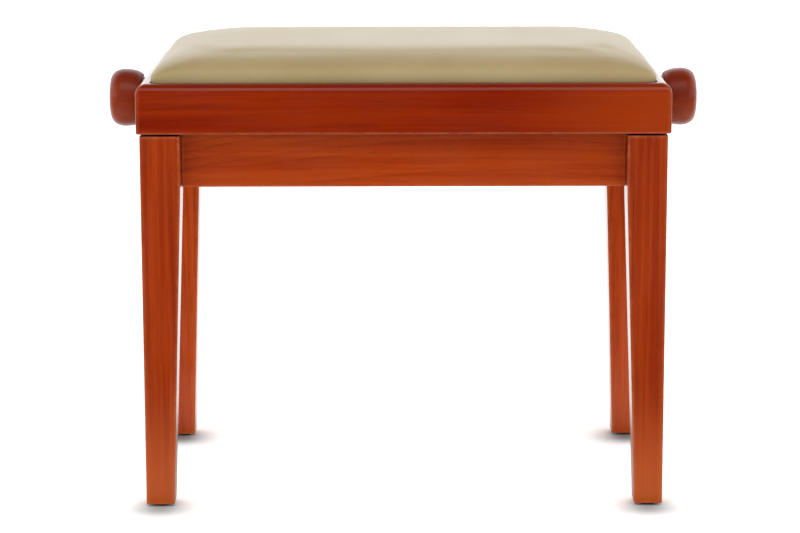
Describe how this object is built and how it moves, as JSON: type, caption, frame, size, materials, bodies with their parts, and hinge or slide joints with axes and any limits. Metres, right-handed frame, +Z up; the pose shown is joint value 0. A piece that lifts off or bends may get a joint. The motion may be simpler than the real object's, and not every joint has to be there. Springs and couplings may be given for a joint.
{
  "type": "piano bench",
  "caption": "Height-adjustable bench: padded oblong seat in a wooden frame on tapered legs, raised by a screw-driven scissor lift with a turning knob at each end.",
  "frame": {"origin": "on the floor under the middle of the bench, seat at its lowest setting", "axes": "+X along the bench from the left knob to the right knob, +Y from the front to the rear, +Z up"},
  "size_m": [0.634, 0.33, 0.4807],
  "materials": {
    "cherry_wood": "satin",
    "knob_wood": "satin",
    "beech": "matte",
    "plywood": "matte",
    "foam": "matte",
    "leatherette": "satin",
    "steel": "satin",
    "zinc_plated": "satin",
    "brass": "satin",
    "glide_plastic": "matte"
  },
  "bodies": {
    "base": {"apron_front": "cherry_wood", "apron_left": "cherry_wood", "apron_rear": "cherry_wood", "apron_right": "cherry_wood", "corner_block_front_left": "beech", "corner_block_front_right": "beech", "corner_block_rear_left": "beech", "corner_block_rear_right": "beech", "foot_glide_front_left": "glide_plastic", "foot_glide_front_right": "glide_plastic", "foot_glide_rear_left": "glide_plastic", "foot_glide_rear_right": "glide_plastic", "leg_bolt_front_left": "zinc_plated", "leg_bolt_front_right": "zinc_plated", "leg_bolt_rear_left": "zinc_plated", "leg_bolt_rear_right": "zinc_plated", "leg_front_left": "cherry_wood", "leg_front_right": "cherry_wood", "leg_rear_left": "cherry_wood", "leg_rear_right": "cherry_wood", "lower_batten_left": "beech", "lower_batten_right": "beech", "lower_track_front": "steel", "lower_track_rear": "steel", "lower_track_screw_front_left": "zinc_plated", "lower_track_screw_front_right": "zinc_plated", "lower_track_screw_rear_left": "zinc_plated", "lower_track_screw_rear_right": "zinc_plated"},
    "seat": {"cushion_cover": "leatherette", "cushion_foam": "foam", "cushion_panel": "plywood", "seat_rail_front": "cherry_wood", "seat_rail_left": "cherry_wood", "seat_rail_rear": "cherry_wood", "seat_rail_right": "cherry_wood", "spindle_bushing_left": "brass", "spindle_bushing_right": "brass", "thrust_bar": "steel", "upper_batten_left": "beech", "upper_batten_right": "beech", "upper_track_front": "steel", "upper_track_rear": "steel", "upper_track_screw_front_left": "zinc_plated", "upper_track_screw_front_right": "zinc_plated", "upper_track_screw_rear_left": "zinc_plated", "upper_track_screw_rear_right": "zinc_plated"},
    "arm_a": {"arm_a_front": "steel", "arm_a_pivot_shaft": "zinc_plated", "arm_a_rear": "steel", "centre_pin_front": "zinc_plated", "centre_pin_rear": "zinc_plated"},
    "arm_b": {"arm_b_front": "steel", "arm_b_rear": "steel", "arm_b_slide_shaft": "zinc_plated"},
    "drive_nut": {"drive_nut_bar": "steel"},
    "spindle": {"knob_left": "knob_wood", "knob_right": "knob_wood", "screw_spindle": "zinc_plated", "thrust_collar": "brass"}
  },
  "joints": [
    {"name": "seat_lift", "type": "slide", "parent": "base", "child": "seat", "axis": [0, 0, 1], "range_m": [0, 0.1]},
    {"name": "arm_a_swing", "type": "hinge", "parent": "base", "child": "arm_a", "pos_m": [-0.164, 0, 0.3708], "axis": [0, -1, 0], "range_deg": [0, 18]},
    {"name": "arm_b_swing", "type": "hinge", "parent": "seat", "child": "arm_b", "pos_m": [-0.164, 0, 0.4138], "axis": [0, 1, 0], "range_deg": [0, 18]},
    {"name": "nut_level", "type": "hinge", "parent": "arm_a", "child": "drive_nut", "pos_m": [0.164, 0, 0.4138], "axis": [0, 1, 0], "range_deg": [0, 18]},
    {"name": "spindle_spin", "type": "hinge", "parent": "seat", "child": "spindle", "pos_m": [0, 0, 0.4138], "axis": [1, 0, 0], "range_deg": [0, 2640]}
  ],
  "couplings": [
    {"joint": "arm_a_swing", "follows": "seat_lift", "rad_per_m": 3.1406},
    {"joint": "arm_b_swing", "follows": "seat_lift", "rad_per_m": 3.1406},
    {"joint": "nut_level", "follows": "seat_lift", "rad_per_m": 3.1406},
    {"joint": "spindle_spin", "follows": "seat_lift", "rad_per_m": 460.7}
  ]
}
